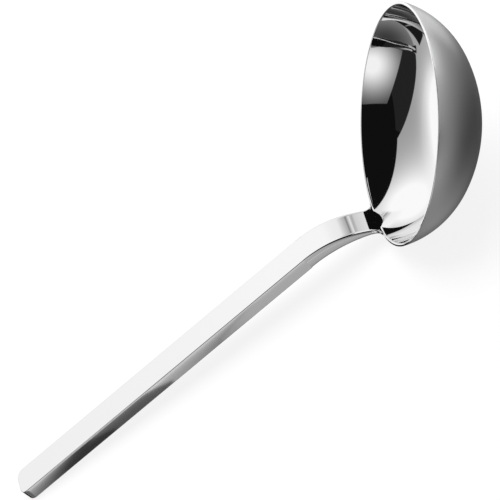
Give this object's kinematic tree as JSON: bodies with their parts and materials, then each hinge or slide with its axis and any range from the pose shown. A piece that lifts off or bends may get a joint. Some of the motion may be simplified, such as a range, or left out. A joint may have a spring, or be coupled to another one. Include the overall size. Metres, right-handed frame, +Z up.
{
  "type": "soup ladle",
  "caption": "Polished steel soup ladle: deep round bowl, bent neck at its rim and a long straight flat bar handle with a square end.",
  "frame": {"origin": "on the table, under the middle of the ladle's outline, as the ladle lies on the bowl's back and the handle's end", "axes": "+X from the bowl to the handle's end, +Z up, and the XZ plane is the ladle's plane of symmetry"},
  "size_m": [0.2428, 0.09, 0.0676],
  "materials": {
    "bowl_steel": "mirror-polished inside, fine satin outside",
    "neck_steel": "mirror-polished stainless steel, weld ground flush",
    "handle_steel": "mirror-polished stainless steel with crisp long edges"
  },
  "bodies": {
    "root": {"bowl": "bowl_steel", "neck": "neck_steel", "neck_weld": "neck_steel", "handle_front": "handle_steel", "handle_back": "handle_steel"}
  },
  "joints": []
}
